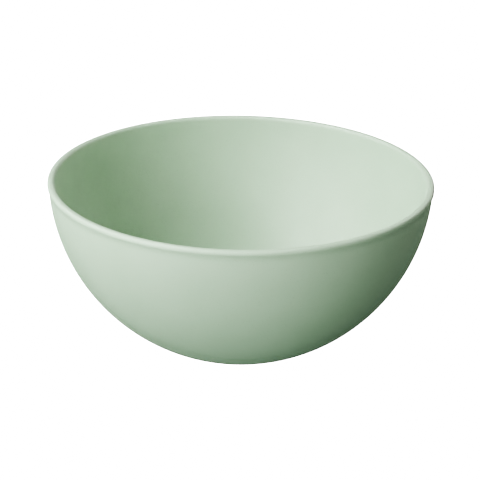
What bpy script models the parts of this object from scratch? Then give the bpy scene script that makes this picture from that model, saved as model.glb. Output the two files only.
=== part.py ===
"""Mixing bowl: a moulded bowl with a non-slip ring set into the underside of its base.

Run in Blender 4.5. Metres, +Z up. The origin is on the surface that the bowl stands on,
and the bowl is round about +Z. Both pieces are turned shapes: each one is an outline of
(radius, height) points, spun once round the axis.
"""

import math

import bmesh
import bpy

# Driving dimensions of the bowl.
RIM_DIAMETER = 0.250        # across the lip, the widest part
HEIGHT = 0.110              # from the standing surface to the top of the lip
WALL = 0.0042               # thickness of the wall
FLOOR = 0.0050              # from the base to the flat floor inside the bowl
SPHERE_RADIUS = 0.1243      # the outside of the wall is part of a sphere
SPHERE_ABOVE_LIP = 0.0018   # its centre, above the top of the lip
FLOOR_BLEND = 0.045         # radius of the curve from the floor into the wall
BASE_EDGE = 0.00375         # radius of the edge between the wall and the base

# The lip: a rounded top and a short upright face that ends in a crisp lower edge. It stands
# just proud of the wall.
LIP_HEIGHT = 0.0027         # from the lip's lower edge to its top
LIP_INNER_ROUND = 0.0022    # radius of the edge between the inside and the lip's top
LIP_OUTER_ROUND = 0.0020    # radius of the edge between the lip's top and its outer face
LIP_BLEND = 0.0050          # height below the lip over which the wall runs into its sphere

# The underside: a ring groove, and a raised middle that clears the standing surface.
GROOVE_OUTER = 0.0515
GROOVE_INNER = 0.0465
GROOVE_DEPTH = 0.0026
LAND_INNER = 0.0435         # inner edge of the flat that the groove is cut into
RECESS = 0.0015             # how far the middle of the underside is raised
RECESS_SLOPE = 0.0015       # width of the sloping step up to it

# The gate mark: a shallow dish in the middle of the underside, with a low nub in it.
GATE_DISH_RADIUS = 0.005
GATE_DISH_DEPTH = 0.0004
GATE_NUB_RADIUS = 0.0015
GATE_NUB_HEIGHT = 0.0003
GATE_SLOPE = 0.0003

# The non-slip ring.
RING_PROUD = 0.0006         # how far it stands out below the base
RING_GAP = 0.0003           # clearance between the ring and its groove
RING_FOOT_ROUND = 0.0005    # radius of the ring's lower edges
RING_TOP_CHAMFER = 0.0004

# Fineness of the meshes.
STEPS_AROUND = 72
STEPS_WALL = 12
STEPS_BLEND = 4
STEPS_SMALL = 3
STEPS_LIP = 4
MERGE_DISTANCE = 0.00001
SHARP_ANGLE = math.radians(35)

# Sizes that follow from the ones above. Heights are measured from the base's flat.
RIM_RADIUS = RIM_DIAMETER / 2
CREST_Z = HEIGHT - RING_PROUD
LIP_EDGE_Z = CREST_Z - LIP_HEIGHT
SPHERE_Z = CREST_Z + SPHERE_ABOVE_LIP
INNER_RADIUS = SPHERE_RADIUS - WALL


def arc(centre, radius, start, end, steps):
    """Points on an arc about centre, from the start angle to the end angle, both included."""
    points = []
    for step in range(steps + 1):
        angle = start + (end - start) * step / steps
        points.append((centre[0] + radius * math.cos(angle), centre[1] + radius * math.sin(angle)))
    return points


def blend_centre(sphere_radius, plane_z, blend):
    """Centre of an arc that touches the inside of the sphere and the top of a flat."""
    height = plane_z + blend
    reach = math.sqrt((sphere_radius - blend) ** 2 - (SPHERE_Z - height) ** 2)
    return reach, height


def blend_angle(centre):
    """The angle at which such an arc runs into the sphere."""
    return math.atan2(centre[1] - SPHERE_Z, centre[0])


def sphere_angle(sphere_radius, z):
    """The angle of the point of the sphere at height z, on its +X side."""
    return math.asin((z - SPHERE_Z) / sphere_radius)


def inner_outline():
    """The inside of the bowl, from the middle of the floor up to the lip."""
    centre = blend_centre(INNER_RADIUS, FLOOR, FLOOR_BLEND)
    joint = blend_angle(centre)
    top = sphere_angle(INNER_RADIUS, CREST_Z - LIP_INNER_ROUND)
    points = [(0.0, FLOOR)]
    points += arc(centre, FLOOR_BLEND, -math.pi / 2, joint, STEPS_BLEND)
    points += arc((0.0, SPHERE_Z), INNER_RADIUS, joint, top, STEPS_WALL)[1:]
    return points


def lip_outline():
    """Over the lip, from the inner wall to its lower edge."""
    inner = (INNER_RADIUS + LIP_INNER_ROUND, CREST_Z - LIP_INNER_ROUND)
    outer = (RIM_RADIUS - LIP_OUTER_ROUND, CREST_Z - LIP_OUTER_ROUND)
    points = arc(inner, LIP_INNER_ROUND, math.pi, math.pi / 2, STEPS_LIP)[1:]
    points += arc(outer, LIP_OUTER_ROUND, math.pi / 2, 0.0, STEPS_LIP)
    points.append((RIM_RADIUS, LIP_EDGE_Z))
    return points


def sphere_reach(z):
    """Radius of the outside of the wall at height z, if it had no lip."""
    return math.sqrt(SPHERE_RADIUS ** 2 - (SPHERE_Z - z) ** 2)


def blend_outline():
    """Below the lip's edge, where the wall runs in from the lip to its sphere."""
    overhang = RIM_RADIUS - sphere_reach(LIP_EDGE_Z)
    points = []
    for step in range(1, STEPS_BLEND):
        part = step / STEPS_BLEND
        z = LIP_EDGE_Z - LIP_BLEND * part
        points.append((sphere_reach(z) + overhang * (1 - part) ** 2, z))
    return points


def outer_outline():
    """The outside of the wall, from below the lip's blend to the flat of the base."""
    top = sphere_angle(SPHERE_RADIUS, LIP_EDGE_Z - LIP_BLEND)
    centre = blend_centre(SPHERE_RADIUS, 0.0, BASE_EDGE)
    joint = blend_angle(centre)
    points = arc((0.0, SPHERE_Z), SPHERE_RADIUS, top, joint, STEPS_WALL)
    points += arc(centre, BASE_EDGE, joint, -math.pi / 2, STEPS_SMALL)[1:]
    return points


def underside_outline():
    """The underside, from the ring groove inwards to the middle."""
    dish_z = RECESS + GATE_DISH_DEPTH
    nub_z = dish_z - GATE_NUB_HEIGHT
    return [
        (GROOVE_OUTER, 0.0),
        (GROOVE_OUTER, GROOVE_DEPTH),
        (GROOVE_INNER, GROOVE_DEPTH),
        (GROOVE_INNER, 0.0),
        (LAND_INNER, 0.0),
        (LAND_INNER - RECESS_SLOPE, RECESS),
        (GATE_DISH_RADIUS, RECESS),
        (GATE_DISH_RADIUS - GATE_SLOPE, dish_z),
        (GATE_NUB_RADIUS, dish_z),
        (GATE_NUB_RADIUS - GATE_SLOPE, nub_z),
        (0.0, nub_z),
    ]


def ring_outline():
    """The ring's section, with rounded lower edges and chamfered upper ones."""
    outer = GROOVE_OUTER - RING_GAP
    inner = GROOVE_INNER + RING_GAP
    top = RING_PROUD + GROOVE_DEPTH - RING_GAP
    foot = RING_FOOT_ROUND
    points = [(outer - RING_TOP_CHAMFER, top), (outer, top - RING_TOP_CHAMFER)]
    points += arc((outer - foot, foot), foot, 0.0, -math.pi / 2, STEPS_SMALL)
    points += arc((inner + foot, foot), foot, -math.pi / 2, -math.pi, STEPS_SMALL)
    points += [(inner, top - RING_TOP_CHAMFER), (inner + RING_TOP_CHAMFER, top)]
    return points


def turned_mesh(name, points, closed):
    """The outline, spun once round the Z axis into a closed mesh."""
    shape = bmesh.new()
    verts = [shape.verts.new((radius, 0.0, height)) for radius, height in points]
    edges = [shape.edges.new(pair) for pair in zip(verts, verts[1:])]
    if closed:
        edges.append(shape.edges.new((verts[-1], verts[0])))
    bmesh.ops.spin(
        shape, geom=verts + edges, axis=(0, 0, 1), angle=2 * math.pi, steps=STEPS_AROUND, use_merge=True
    )
    bmesh.ops.remove_doubles(shape, verts=shape.verts, dist=MERGE_DISTANCE)
    bmesh.ops.recalc_face_normals(shape, faces=shape.faces)
    mesh = bpy.data.meshes.new(name)
    shape.to_mesh(mesh)
    shape.free()
    mesh.shade_smooth()
    mesh.set_sharp_from_angle(angle=SHARP_ANGLE)
    return mesh


def turned_object(name, points, closed, material):
    """An object whose mesh is the outline turned about Z."""
    mesh = turned_mesh(name, points, closed)
    mesh.materials.append(material)
    piece = bpy.data.objects.new(name, mesh)
    bpy.context.scene.collection.objects.link(piece)
    return piece


def matte_material(name, colour, roughness):
    """A plain matte material that isn't metal."""
    material = bpy.data.materials.new(name)
    material.use_nodes = True
    shader = material.node_tree.nodes["Principled BSDF"]
    shader.inputs["Base Color"].default_value = (*colour, 1.0)
    shader.inputs["Roughness"].default_value = roughness
    shader.inputs["Metallic"].default_value = 0.0
    return material


def bowl_shell():
    """The bowl itself, one moulding, whose flat base is lifted by the ring."""
    sage = matte_material("sage_plastic", (0.395, 0.55, 0.39), 0.55)
    points = inner_outline() + lip_outline() + blend_outline()
    points += outer_outline() + underside_outline()
    piece = turned_object("bowl_shell", points, False, sage)
    piece.location.z = RING_PROUD
    return piece


def non_slip_ring():
    """The soft ring that the bowl stands on, held in the groove of the base."""
    rubber = matte_material("ring_silicone", (0.20, 0.25, 0.20), 0.75)
    return turned_object("non_slip_ring", ring_outline(), True, rubber)


def clear_scene():
    for old in list(bpy.data.objects):
        bpy.data.objects.remove(old, do_unlink=True)


def main():
    clear_scene()
    root = bpy.data.objects.new("mixing_bowl", None)
    bpy.context.scene.collection.objects.link(root)
    for piece in (bowl_shell(), non_slip_ring()):
        piece.parent = root


main()
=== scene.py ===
"""Looks of the mixing bowl: finely turned meshes, procedural materials, studio light and camera.

Everything is in metres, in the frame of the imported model. Both pieces are turned about +Z.
"""

import math

import bmesh
import bpy
from mathutils import Matrix, Vector

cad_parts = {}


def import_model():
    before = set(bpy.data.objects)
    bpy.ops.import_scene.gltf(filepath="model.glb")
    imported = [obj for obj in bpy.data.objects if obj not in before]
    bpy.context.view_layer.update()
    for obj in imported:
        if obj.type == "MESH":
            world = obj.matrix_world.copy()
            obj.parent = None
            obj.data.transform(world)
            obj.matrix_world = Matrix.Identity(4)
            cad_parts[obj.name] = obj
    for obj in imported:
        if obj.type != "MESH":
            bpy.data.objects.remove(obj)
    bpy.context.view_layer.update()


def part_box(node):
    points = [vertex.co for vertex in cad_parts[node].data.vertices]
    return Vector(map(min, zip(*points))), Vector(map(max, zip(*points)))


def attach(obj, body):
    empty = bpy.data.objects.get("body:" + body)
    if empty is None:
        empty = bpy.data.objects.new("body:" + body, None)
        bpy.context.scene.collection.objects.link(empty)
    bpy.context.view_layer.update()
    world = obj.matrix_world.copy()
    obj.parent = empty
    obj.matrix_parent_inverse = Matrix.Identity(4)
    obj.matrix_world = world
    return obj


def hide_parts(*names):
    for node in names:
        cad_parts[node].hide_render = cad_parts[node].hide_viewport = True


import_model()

shell_low, shell_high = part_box("bowl_shell")
ring_low, ring_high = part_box("non_slip_ring")

# Sizes of the bowl that come from the frame.
RIM_RADIUS = (shell_high.x - shell_low.x) / 2
BASE_Z = shell_low.z
CREST_Z = shell_high.z
RING_OUTER = (ring_high.x - ring_low.x) / 2

# The wall, which is part of a sphere outside and inside, and the flat floor.
WALL = 0.0042
FLOOR = 0.0050
SPHERE_INSET = 0.0007           # how much smaller the outer sphere's radius is than the rim's
SPHERE_ABOVE_LIP = 0.0018       # height of its centre above the top of the lip
SPHERE_RADIUS = RIM_RADIUS - SPHERE_INSET
SPHERE_Z = CREST_Z + SPHERE_ABOVE_LIP
INNER_RADIUS = SPHERE_RADIUS - WALL
FLOOR_BLEND = 0.045             # radius of the curve from the floor into the wall
BASE_EDGE = 0.00375             # radius of the edge between the wall and the base

# The lip: a rounded top, a short upright face, and a blend into the wall below its edge.
LIP_HEIGHT = 0.0027
LIP_EDGE_Z = CREST_Z - LIP_HEIGHT
LIP_INNER_ROUND = 0.0022
LIP_OUTER_ROUND = 0.0020
LIP_EDGE_ROUND = 0.00012        # size of the fillet on the lip's lower edge
LIP_BLEND = 0.0050              # height of the blend

# The underside: the ring's groove, the raised middle, and the gate mark in it.
RING_GAP = 0.0003
RING_WIDTH = 0.0044
GROOVE_DEPTH = 0.0026
LAND_WIDTH = 0.003
RECESS = 0.0015
RECESS_SLOPE = 0.0015
DISH_RADIUS = 0.005
DISH_DEPTH = 0.0004
NUB_RADIUS = 0.0015
NUB_HEIGHT = 0.0003
SMALL_SLOPE = 0.0003

# Sizes of the small fillets on the underside.
GROOVE_EDGE_ROUND = 0.0002
GROOVE_CORNER_ROUND = 0.0003
LAND_ROUND = 0.0004
RECESS_ROUND = 0.0006
GATE_ROUND = 0.0001

# The ring: the fillet on its edges, and the ribs on its foot with the grooves between them.
RING_ROUND = 0.0004
RIB_COUNT = 3
RIB_GROOVE_WIDTH = 0.0004
RIB_GROOVE_DEPTH = 0.0003
RIB_GROOVE_SLOPE = 0.2          # part of the groove's width that each of its sides takes
RIB_ROUND = 0.00008

# Distance from an outline's end point to the fillet corner beside it.
RUN_IN = 0.001

# Fineness.
AROUND = 360
STEPS_FLOOR = 12
STEPS_FLOOR_BLEND = 16
STEPS_INNER_WALL = 60
STEPS_OUTER_WALL = 72
STEPS_BASE_EDGE = 6
STEPS_LIP_INNER = 8
STEPS_LIP_LAND = 4
STEPS_LIP_OUTER = 12
STEPS_LIP_BLEND = 14
STEPS_FILLET = 4
STEPS_DOME = 32
MERGE_DISTANCE = 0.000001

# The camera, a long lens that looks down into the bowl. Its distance and elevation are measured
# from the point of the bowl's axis at the pivot height, and it looks at the one at the aim height.
CAMERA_LENS = 115.4
CAMERA_SENSOR = 36.0
CAMERA_NEAR = 0.05
CAMERA_FAR = 50.0
CAMERA_DISTANCE = 1.0
CAMERA_ELEVATION = math.radians(20.655)
CAMERA_ROLL = math.radians(0.927)
PIVOT_HEIGHT = 0.1082
AIM_HEIGHT = 0.0644

HALF_PI = math.pi / 2


# Outlines: lists of (radius, height) points.

def arc(centre, radius, start, end, steps):
    """Points on an arc from the start angle to the end angle, both included."""
    points = []
    for step in range(steps + 1):
        angle = start + (end - start) * step / steps
        points.append((centre[0] + radius * math.cos(angle), centre[1] + radius * math.sin(angle)))
    return points


def blend_centre(sphere_radius, plane_z, blend):
    """Centre of an arc that touches the inside of the sphere and the top of a flat."""
    height = plane_z + blend
    reach = math.sqrt((sphere_radius - blend) ** 2 - (SPHERE_Z - height) ** 2)
    return reach, height


def sphere_angle(sphere_radius, z):
    """The angle of the point of the sphere at height z, on its +X side."""
    return math.asin((z - SPHERE_Z) / sphere_radius)


def filleted(corners):
    """An outline through corners given as (radius, height, fillet), rounded between its ends."""
    points = []
    for before, corner, after in zip(corners, corners[1:], corners[2:]):
        points += fillet(before, corner, after)
    first, last = corners[0], corners[-1]
    return [(first[0], first[1])] + points + [(last[0], last[1])]


def fillet(before, corner, after):
    """The rounded corner between two straight runs, as points on a quadratic curve."""
    here = Vector(corner[:2])
    size = corner[2]
    if size == 0:
        return [tuple(here)]
    inward = (Vector(before[:2]) - here).normalized() * size
    onward = (Vector(after[:2]) - here).normalized() * size
    points = []
    for step in range(STEPS_FILLET + 1):
        t = step / STEPS_FILLET
        points.append(tuple(here + inward * (1 - t) ** 2 + onward * t ** 2))
    return points


def inner_outline():
    """The inside of the bowl, from the middle of the floor up to the lip."""
    centre = blend_centre(INNER_RADIUS, BASE_Z + FLOOR, FLOOR_BLEND)
    joint = math.atan2(centre[1] - SPHERE_Z, centre[0])
    top = sphere_angle(INNER_RADIUS, CREST_Z - LIP_INNER_ROUND)
    points = [(centre[0] * step / STEPS_FLOOR, BASE_Z + FLOOR) for step in range(STEPS_FLOOR)]
    points += arc(centre, FLOOR_BLEND, -HALF_PI, joint, STEPS_FLOOR_BLEND)
    points += arc((0.0, SPHERE_Z), INNER_RADIUS, joint, top, STEPS_INNER_WALL)[1:]
    return points


def lip_outline():
    """Over the lip: the inner edge, the flat land, the outer edge, and the blend below it."""
    inner = INNER_RADIUS + LIP_INNER_ROUND
    outer = RIM_RADIUS - LIP_OUTER_ROUND
    inner_centre = (inner, CREST_Z - LIP_INNER_ROUND)
    outer_centre = (outer, CREST_Z - LIP_OUTER_ROUND)
    points = arc(inner_centre, LIP_INNER_ROUND, math.pi, HALF_PI, STEPS_LIP_INNER)[1:]
    for step in range(1, STEPS_LIP_LAND):
        points.append((inner + (outer - inner) * step / STEPS_LIP_LAND, CREST_Z))
    points += arc(outer_centre, LIP_OUTER_ROUND, HALF_PI, 0.0, STEPS_LIP_OUTER)
    blend = lip_blend()
    points += fillet(points[-1], (RIM_RADIUS, LIP_EDGE_Z, LIP_EDGE_ROUND), blend[0])
    return points + blend


def lip_blend():
    """Below the lip's edge, where the wall runs in from the lip to its sphere."""
    overhang = RIM_RADIUS - sphere_reach(LIP_EDGE_Z)
    points = []
    for step in range(1, STEPS_LIP_BLEND):
        t = step / STEPS_LIP_BLEND
        height = LIP_EDGE_Z - LIP_BLEND * t
        points.append((sphere_reach(height) + overhang * (1 - t) ** 2, height))
    return points


def sphere_reach(z):
    """Radius of the outside of the wall at height z, if it had no lip."""
    return math.sqrt(SPHERE_RADIUS ** 2 - (SPHERE_Z - z) ** 2)


def outer_outline():
    """The outside of the wall, from below the lip's blend to the flat of the base."""
    top = sphere_angle(SPHERE_RADIUS, LIP_EDGE_Z - LIP_BLEND)
    centre = blend_centre(SPHERE_RADIUS, BASE_Z, BASE_EDGE)
    joint = math.atan2(centre[1] - SPHERE_Z, centre[0])
    points = arc((0.0, SPHERE_Z), SPHERE_RADIUS, top, joint, STEPS_OUTER_WALL)
    points += arc(centre, BASE_EDGE, joint, -HALF_PI, STEPS_BASE_EDGE)[1:]
    return points


def underside_outline():
    """The underside, from just outside the ring's groove to the middle."""
    groove_outer = RING_OUTER + RING_GAP
    groove_inner = RING_OUTER - RING_WIDTH - RING_GAP
    land_inner = groove_inner - LAND_WIDTH
    recess_z = BASE_Z + RECESS
    dish_z = recess_z + DISH_DEPTH
    nub_z = dish_z - NUB_HEIGHT
    corners = [
        (groove_outer + RUN_IN, BASE_Z, 0),
        (groove_outer, BASE_Z, GROOVE_EDGE_ROUND),
        (groove_outer, BASE_Z + GROOVE_DEPTH, GROOVE_CORNER_ROUND),
        (groove_inner, BASE_Z + GROOVE_DEPTH, GROOVE_CORNER_ROUND),
        (groove_inner, BASE_Z, GROOVE_EDGE_ROUND),
        (land_inner, BASE_Z, LAND_ROUND),
        (land_inner - RECESS_SLOPE, recess_z, RECESS_ROUND),
        (DISH_RADIUS, recess_z, GATE_ROUND),
        (DISH_RADIUS - SMALL_SLOPE, dish_z, GATE_ROUND),
        (NUB_RADIUS, dish_z, GATE_ROUND),
        (NUB_RADIUS - SMALL_SLOPE, nub_z, GATE_ROUND),
        (0.0, nub_z, 0),
    ]
    return filleted(corners)


def ring_outline():
    """The ring's section: rounded edges, and ribs where it touches the table."""
    outer = RING_OUTER
    inner = RING_OUTER - RING_WIDTH
    top = ring_high.z
    foot = ring_low.z
    groove = RIB_GROOVE_WIDTH
    rib = (RING_WIDTH - (RIB_COUNT - 1) * groove) / RIB_COUNT
    corners = [(outer - RUN_IN, top, 0), (outer, top, RING_ROUND), (outer, foot, RING_ROUND)]
    for index in range(1, RIB_COUNT):
        start = outer - index * rib - (index - 1) * groove
        corners += [
            (start, foot, RIB_ROUND),
            (start - groove * RIB_GROOVE_SLOPE, foot + RIB_GROOVE_DEPTH, RIB_ROUND),
            (start - groove * (1 - RIB_GROOVE_SLOPE), foot + RIB_GROOVE_DEPTH, RIB_ROUND),
            (start - groove, foot, RIB_ROUND),
        ]
    corners += [(inner, foot, RING_ROUND), (inner, top, RING_ROUND), (inner + RUN_IN, top, 0)]
    return filleted(corners)


def turned(name, outline, closed):
    """A smooth piece made by spinning an outline once round Z."""
    shape = bmesh.new()
    verts = [shape.verts.new((radius, 0.0, height)) for radius, height in outline]
    edges = [shape.edges.new(pair) for pair in zip(verts, verts[1:])]
    if closed:
        edges.append(shape.edges.new((verts[-1], verts[0])))
    bmesh.ops.spin(
        shape, geom=verts + edges, axis=(0, 0, 1), angle=2 * math.pi, steps=AROUND, use_merge=True
    )
    bmesh.ops.remove_doubles(shape, verts=shape.verts, dist=MERGE_DISTANCE)
    bmesh.ops.recalc_face_normals(shape, faces=shape.faces)
    mesh = bpy.data.meshes.new(name)
    shape.to_mesh(mesh)
    shape.free()
    mesh.shade_smooth()
    piece = bpy.data.objects.new(name, mesh)
    bpy.context.scene.collection.objects.link(piece)
    return piece


# Materials.

class Nodes:
    """A short way to add nodes to a material and join them."""

    def __init__(self, name):
        self.material = bpy.data.materials.new(name)
        self.material.use_nodes = True
        self.tree = self.material.node_tree
        self.shader = self.tree.nodes["Principled BSDF"]

    def add(self, kind, settings=None, **inputs):
        made = self.tree.nodes.new(kind)
        for key, value in (settings or {}).items():
            setattr(made, key, value)
        for key, value in inputs.items():
            self.feed(made.inputs[key.replace("_", " ")], value)
        return made

    def feed(self, socket, value):
        if isinstance(value, bpy.types.NodeSocket):
            self.tree.links.new(value, socket)
        else:
            socket.default_value = value

    def noise(self, where, scale, detail=2.0, roughness=0.5):
        node = self.add("ShaderNodeTexNoise", Vector=where, Scale=scale, Detail=detail)
        node.inputs["Roughness"].default_value = roughness
        return node.outputs["Fac"]

    def remap(self, value, low, high, to_low, to_high):
        node = self.add("ShaderNodeMapRange", Value=value, From_Min=low, From_Max=high)
        node.inputs["To Min"].default_value = to_low
        node.inputs["To Max"].default_value = to_high
        return node.outputs["Result"]

    def mix(self, factor, first, second):
        node = self.add("ShaderNodeMix", {"data_type": "RGBA"})
        self.feed(node.inputs["Factor"], factor)
        self.feed(node.inputs[6], first)
        self.feed(node.inputs[7], second)
        return node.outputs[2]

    def math(self, operation, first, second):
        node = self.add("ShaderNodeMath", {"operation": operation})
        self.feed(node.inputs[0], first)
        self.feed(node.inputs[1], second)
        return node.outputs[0]


# Colours of the two plastics, and of their worn and dusty places.
SAGE = (0.385, 0.540, 0.381, 1.0)
SAGE_PALE = (0.405, 0.560, 0.401, 1.0)
SAGE_SPECK = (0.300, 0.440, 0.300, 1.0)
SAGE_WORN = (0.470, 0.610, 0.465, 1.0)
SILICONE = (0.190, 0.240, 0.190, 1.0)
SILICONE_PALE = (0.225, 0.275, 0.225, 1.0)
DUST = (0.42, 0.42, 0.39, 1.0)

# The part of a noise's values that is spread over a whole range, and clipped outside it. The
# higher it lies, the rarer the marks.
WHOLE = (0.3, 0.7)
PATCHES = (0.40, 0.65)
SPECKS = (0.66, 0.74)
TURNED_MARKS = (0.52, 0.66)
SCUFFS = (0.56, 0.66)
DUSTY = (0.48, 0.68)

# The bowl's texture. Scales are noise cells per metre.
SHADE_SCALE = 26.0              # slow drift of the colour
PATCH_SCALE = 45.0              # where the lip and the inside show use
SPECK_SCALE = 1300.0
SHEEN_SCALE = 60.0              # slow drift of the roughness
GRAIN_SCALE = 2200.0
COARSE_GRAIN_SCALE = 650.0
MARKS_ACROSS = 1500.0           # turned marks per metre from the axis outwards
MARKS_AROUND = 2.5              # the smaller, the longer each mark runs round the axis
SCUFFS_ALONG_X = (160.0, 2600.0, 900.0)
SCUFFS_ALONG_Y = (2300.0, 190.0, 900.0)

# The noise behind each set of scuffs is turned, in radians, so that the sets don't match.
SCUFF_NOISE_X = (0.3, 0.2, 0.4)
SCUFF_NOISE_Y = (0.3, 0.2, 0.9)

# The bowl's roughness, and how strongly wear and texture show in its colour, roughness and relief.
SPECK_COLOUR = 0.40
HANDLED_COLOUR = 0.10
SCUFF_COLOUR = 0.55
ROUGHNESS = (0.50, 0.58)
HANDLED_SHINE = 0.07
MARK_SHINE = 0.06
SCUFF_DULLNESS = 0.15
COARSE_GRAIN = 1.2
MARK_DEPTH = 0.5
SCUFF_DEPTH = 1.5
GRAIN_ON_WALL = 0.55
GRAIN_ON_LIP = 0.12             # weaker, as grain shows most at a grazing angle
GRAIN_HEIGHT = 0.00010

# Heights above the base between which the scuffs fade out.
SCUFF_FADE = (0.0003, 0.004)

# The grain weakens from this far below the lip's lower edge to this far below its top.
GRAIN_CHANGE = 0.0010

# The ring's texture.
RING_SHADE_SCALE = 90.0
RING_SHEEN_SCALE = 200.0
RING_GRAIN_SCALE = 3200.0
RING_ROUGHNESS = (0.66, 0.78)
RING_GRAIN = 0.2
RING_GRAIN_HEIGHT = 0.00005
DUST_SCALE = 420.0
DUST_COLOUR = 0.40
DUST_DULLNESS = 0.4
DUST_HEIGHT = 0.0008            # how far up from its foot the ring is dusty


def place_and_height(n):
    """The position in the piece's own frame, and its height alone."""
    place = n.add("ShaderNodeTexCoord").outputs["Object"]
    split = n.add("ShaderNodeSeparateXYZ", Vector=place)
    return place, split.outputs["Z"]


def turned_marks(n, place):
    """Fine marks that run round the bowl's axis, as streaks from 0 to 1."""
    flat = n.add("ShaderNodeVectorMath", {"operation": "MULTIPLY"})
    n.feed(flat.inputs[0], place)
    flat.inputs[1].default_value = (1, 1, 0)
    heading = n.add("ShaderNodeVectorMath", {"operation": "NORMALIZE"})
    n.feed(heading.inputs[0], flat.outputs["Vector"])
    size = n.add("ShaderNodeVectorMath", {"operation": "LENGTH"})
    n.feed(size.inputs[0], flat.outputs["Vector"])
    direction = n.add("ShaderNodeVectorMath", {"operation": "SCALE"})
    n.feed(direction.inputs[0], heading.outputs["Vector"])
    direction.inputs["Scale"].default_value = MARKS_AROUND
    out = n.math("MULTIPLY", size.outputs["Value"], MARKS_ACROSS)
    lift = n.add("ShaderNodeCombineXYZ", Z=out)
    where = n.add("ShaderNodeVectorMath", {"operation": "ADD"})
    n.feed(where.inputs[0], direction.outputs["Vector"])
    n.feed(where.inputs[1], lift.outputs["Vector"])
    streaks = n.noise(where.outputs["Vector"], 1.0, detail=3.0, roughness=0.7)
    return n.remap(streaks, *TURNED_MARKS, 0.0, 1.0)


def scuffs(n, place, scale, turn):
    """Short straight scratches, as streaks from 0 to 1, long along the axis with the small scale."""
    stretched = n.add("ShaderNodeMapping", Vector=place)
    stretched.inputs["Rotation"].default_value = turn
    stretched.inputs["Scale"].default_value = scale
    streaks = n.noise(stretched.outputs["Vector"], 1.0, detail=3.0, roughness=0.6)
    return n.remap(streaks, *SCUFFS, 0.0, 1.0)


def inside_mask(n, place, height):
    """1 on the inside of the bowl, 0 on its outside and underneath."""
    centred = n.add("ShaderNodeVectorMath", {"operation": "SUBTRACT"})
    n.feed(centred.inputs[0], place)
    centred.inputs[1].default_value = (0, 0, SPHERE_Z)
    far = n.add("ShaderNodeVectorMath", {"operation": "LENGTH"})
    n.feed(far.inputs[0], centred.outputs["Vector"])
    within = n.math("LESS_THAN", far.outputs["Value"], INNER_RADIUS + WALL / 2)
    above = n.math("GREATER_THAN", height, BASE_Z + FLOOR / 2)
    return n.math("MULTIPLY", within, above)


def base_wear(n, place, height):
    """Two crossing sets of scuffs, on the base and just above it."""
    low, high = SCUFF_FADE
    base = n.remap(height, BASE_Z + low, BASE_Z + high, 1.0, 0.0)
    first = n.math("MULTIPLY", base, scuffs(n, place, SCUFFS_ALONG_X, SCUFF_NOISE_X))
    second = n.math("MULTIPLY", base, scuffs(n, place, SCUFFS_ALONG_Y, SCUFF_NOISE_Y))
    return n.math("MAXIMUM", first, second)


def bowl_colour(n, place, handled, worn):
    """Sage that drifts slowly and has small specks, paler where it is handled or scuffed."""
    drift = n.remap(n.noise(place, SHADE_SCALE), *WHOLE, 0.0, 1.0)
    colour = n.mix(drift, SAGE, SAGE_PALE)
    specks = n.remap(n.noise(place, SPECK_SCALE, detail=1.0), *SPECKS, 0.0, SPECK_COLOUR)
    colour = n.mix(specks, colour, SAGE_SPECK)
    colour = n.mix(n.math("MULTIPLY", handled, HANDLED_COLOUR), colour, SAGE_WORN)
    return n.mix(n.math("MULTIPLY", worn, SCUFF_COLOUR), colour, SAGE_WORN)


def bowl_roughness(n, place, handled, marks, worn):
    """Matte, a little shinier where it is handled or marked, and duller where it is scuffed."""
    rough = n.remap(n.noise(place, SHEEN_SCALE, detail=4.0), *WHOLE, *ROUGHNESS)
    rough = n.math("SUBTRACT", rough, n.math("MULTIPLY", handled, HANDLED_SHINE))
    rough = n.math("SUBTRACT", rough, n.math("MULTIPLY", marks, MARK_SHINE))
    return n.math("ADD", rough, n.math("MULTIPLY", worn, SCUFF_DULLNESS))


def bowl_normal(n, place, height, marks, worn):
    """The moulded grain, calmer on the lip, with the marks and scuffs cut into it."""
    grain = n.noise(place, GRAIN_SCALE, detail=3.0)
    coarse = n.noise(place, COARSE_GRAIN_SCALE)
    relief = n.math("ADD", grain, n.math("MULTIPLY", coarse, COARSE_GRAIN))
    relief = n.math("SUBTRACT", relief, n.math("MULTIPLY", marks, MARK_DEPTH))
    relief = n.math("SUBTRACT", relief, n.math("MULTIPLY", worn, SCUFF_DEPTH))
    low = LIP_EDGE_Z - GRAIN_CHANGE
    high = CREST_Z - GRAIN_CHANGE
    strength = n.remap(height, low, high, GRAIN_ON_WALL, GRAIN_ON_LIP)
    bump = n.add("ShaderNodeBump", Height=relief, Strength=strength, Distance=GRAIN_HEIGHT)
    return bump.outputs["Normal"]


def bowl_material():
    """Matte moulded plastic, with a handled lip, a scuffed base and faint marks of use inside."""
    n = Nodes("sage_plastic")
    place, height = place_and_height(n)
    blotches = n.noise(place, PATCH_SCALE, detail=4.0, roughness=0.6)
    patches = n.remap(blotches, *PATCHES, 0.0, 1.0)
    lip = n.remap(height, CREST_Z - LIP_OUTER_ROUND, CREST_Z, 0.0, 1.0)
    handled = n.math("MULTIPLY", lip, patches)
    used = n.math("MULTIPLY", inside_mask(n, place, height), patches)
    marks = n.math("MULTIPLY", used, turned_marks(n, place))
    worn = base_wear(n, place, height)
    n.feed(n.shader.inputs["Base Color"], bowl_colour(n, place, handled, worn))
    n.feed(n.shader.inputs["Roughness"], bowl_roughness(n, place, handled, marks, worn))
    n.feed(n.shader.inputs["Normal"], bowl_normal(n, place, height, marks, worn))
    return n.material


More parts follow.
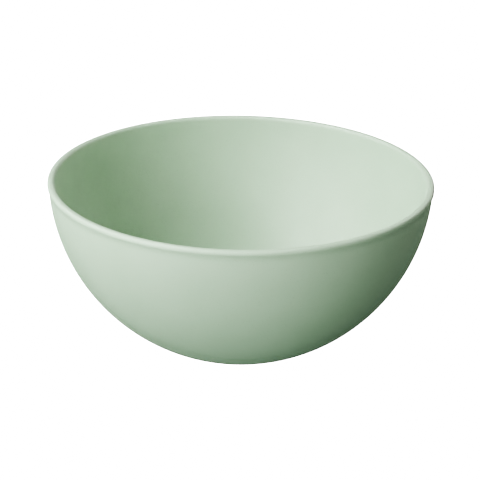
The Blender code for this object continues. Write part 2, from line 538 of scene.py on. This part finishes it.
def ring_material():
    """Dull silicone, with dust held on its foot."""
    n = Nodes("ring_silicone")
    place, height = place_and_height(n)
    drift = n.remap(n.noise(place, RING_SHADE_SCALE), *WHOLE, 0.0, 1.0)
    colour = n.mix(drift, SILICONE, SILICONE_PALE)
    foot = n.remap(height, ring_low.z, ring_low.z + DUST_HEIGHT, 1.0, 0.0)
    clumps = n.noise(place, DUST_SCALE, detail=5.0, roughness=0.7)
    dusty = n.math("MULTIPLY", foot, n.remap(clumps, *DUSTY, 0.0, DUST_COLOUR))
    n.feed(n.shader.inputs["Base Color"], n.mix(dusty, colour, DUST))
    rough = n.remap(n.noise(place, RING_SHEEN_SCALE, detail=4.0), *WHOLE, *RING_ROUGHNESS)
    rough = n.math("ADD", rough, n.math("MULTIPLY", dusty, DUST_DULLNESS))
    n.feed(n.shader.inputs["Roughness"], rough)
    grain = n.noise(place, RING_GRAIN_SCALE)
    bump = n.add("ShaderNodeBump", Height=grain, Strength=RING_GRAIN, Distance=RING_GRAIN_HEIGHT)
    n.feed(n.shader.inputs["Normal"], bump.outputs["Normal"])
    return n.material


# Stage.

# The soft boxes: name, azimuth and elevation in degrees, power in watts, and colour. Azimuth 0 is
# in front of the bowl, and 90 is to its right.
WHITE = (1.0, 1.0, 1.0)
FAINT_ROSE = (1.0, 0.90, 0.93)
SOFT_BOXES = (
    ("high_left", -90, 48, 30.6, WHITE),
    ("left", -50, 34, 13.3, WHITE),
    ("low_front", -35, 6, 20.9, WHITE),
    ("right", 60, 30, 7.0, FAINT_ROSE),
    ("back_right", 140, 20, 6.0, FAINT_ROSE),
)
SOFT_BOX_SIZE = 1.0
SOFT_BOX_DISTANCE = 1.6
MIDDLE_Z = 0.06                 # the height that the lamps are measured from
LIGHT_FROM_BELOW = 0.16
LIGHT_FROM_BELOW_COLOUR = (0.75, 1.0, 0.82, 1)
HORIZON_SOFTNESS = 0.02         # how far either side of level that light fades in
FLOOR_COLOUR = (0.9, 0.9, 0.9, 1)
FLOOR_GLOW = 6.0
FLOOR_REACH = 3.5               # radius of the flat of the floor
COVE_RADIUS = 3.5


def floor():
    """A white floor that curves up into a dome. Only the camera sees it, and only from inside."""
    curve = arc((FLOOR_REACH, COVE_RADIUS), COVE_RADIUS, -HALF_PI, HALF_PI, STEPS_DOME)
    outline = [(0.0, 0.0)] + curve + [(0.0, 2 * COVE_RADIUS)]
    stage = turned("floor", outline, False)
    stage.visible_diffuse = False
    stage.visible_glossy = False
    stage.visible_shadow = False
    n = Nodes("floor_paper")
    n.shader.inputs["Base Color"].default_value = FLOOR_COLOUR
    n.shader.inputs["Roughness"].default_value = 1.0
    n.shader.inputs["Specular IOR Level"].default_value = 0.0
    n.shader.inputs["Emission Color"].default_value = (*WHITE, 1)
    n.shader.inputs["Emission Strength"].default_value = FLOOR_GLOW
    side = n.add("ShaderNodeNewGeometry").outputs["Backfacing"]
    clear = n.add("ShaderNodeBsdfTransparent").outputs["BSDF"]
    choose = n.add("ShaderNodeMixShader", Fac=side)
    n.feed(choose.inputs[1], clear)
    n.feed(choose.inputs[2], n.shader.outputs["BSDF"])
    n.feed(n.tree.nodes["Material Output"].inputs["Surface"], choose.outputs["Shader"])
    stage.data.materials.append(n.material)


def toward(azimuth, elevation):
    """The unit vector from the bowl to a lamp."""
    a, e = math.radians(azimuth), math.radians(elevation)
    return Vector((math.sin(a) * math.cos(e), -math.cos(a) * math.cos(e), math.sin(e)))


def soft_box(name, azimuth, elevation, power, colour):
    """A square area lamp that faces the bowl."""
    lamp = bpy.data.lights.new(name, "AREA")
    lamp.shape = "SQUARE"
    lamp.size = SOFT_BOX_SIZE
    lamp.energy = power
    lamp.color = colour
    box = bpy.data.objects.new(name, lamp)
    direction = toward(azimuth, elevation)
    box.location = Vector((0, 0, MIDDLE_Z)) + direction * SOFT_BOX_DISTANCE
    box.rotation_mode = "QUATERNION"
    box.rotation_quaternion = direction.to_track_quat("Z", "Y")
    box.visible_camera = False
    bpy.context.scene.collection.objects.link(box)


def world():
    """Weak, slightly green light from below, and nothing from above."""
    studio = bpy.data.worlds.new("studio")
    studio.use_nodes = True
    tree = studio.node_tree
    background = tree.nodes["Background"]
    background.inputs["Color"].default_value = LIGHT_FROM_BELOW_COLOUR
    place = tree.nodes.new("ShaderNodeTexCoord")
    split = tree.nodes.new("ShaderNodeSeparateXYZ")
    fade = tree.nodes.new("ShaderNodeMapRange")
    fade.inputs["From Min"].default_value = -HORIZON_SOFTNESS
    fade.inputs["From Max"].default_value = HORIZON_SOFTNESS
    fade.inputs["To Min"].default_value = LIGHT_FROM_BELOW
    fade.inputs["To Max"].default_value = 0.0
    tree.links.new(place.outputs["Generated"], split.inputs[0])
    tree.links.new(split.outputs["Z"], fade.inputs["Value"])
    tree.links.new(fade.outputs["Result"], background.inputs["Strength"])
    bpy.context.scene.world = studio


def lights():
    for name, azimuth, elevation, power, colour in SOFT_BOXES:
        soft_box(name, azimuth, elevation, power, colour)
    world()


def camera():
    """Straight in front of the bowl, above it, and turned a little about its own line of sight."""
    lens = bpy.data.cameras.new("camera")
    lens.lens = CAMERA_LENS
    lens.sensor_width = CAMERA_SENSOR
    lens.clip_start = CAMERA_NEAR
    lens.clip_end = CAMERA_FAR
    eye = bpy.data.objects.new("camera", lens)
    bpy.context.scene.collection.objects.link(eye)
    back = Vector((0.0, -math.cos(CAMERA_ELEVATION), math.sin(CAMERA_ELEVATION)))
    eye.location = Vector((0.0, 0.0, PIVOT_HEIGHT)) + back * CAMERA_DISTANCE
    look = Vector((0.0, 0.0, AIM_HEIGHT)) - eye.location
    level = look.to_track_quat("-Z", "Y").to_matrix()
    turn = level @ Matrix.Rotation(CAMERA_ROLL, 3, "Z")
    eye.rotation_mode = "QUATERNION"
    eye.rotation_quaternion = turn.to_quaternion()
    bpy.context.scene.camera = eye


def add_bowl():
    outline = inner_outline() + lip_outline() + outer_outline() + underside_outline()
    bowl = turned("bowl", outline, False)
    bowl.data.materials.append(bowl_material())
    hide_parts("bowl_shell")
    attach(bowl, "root")


def add_ring():
    ring = turned("ring", ring_outline(), True)
    ring.data.materials.append(ring_material())
    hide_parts("non_slip_ring")
    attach(ring, "root")


def main():
    camera()
    add_bowl()
    add_ring()
    floor()
    lights()
    settings = bpy.context.scene.view_settings
    settings.view_transform = "AgX"
    settings.look = "AgX - Very High Contrast"


main()
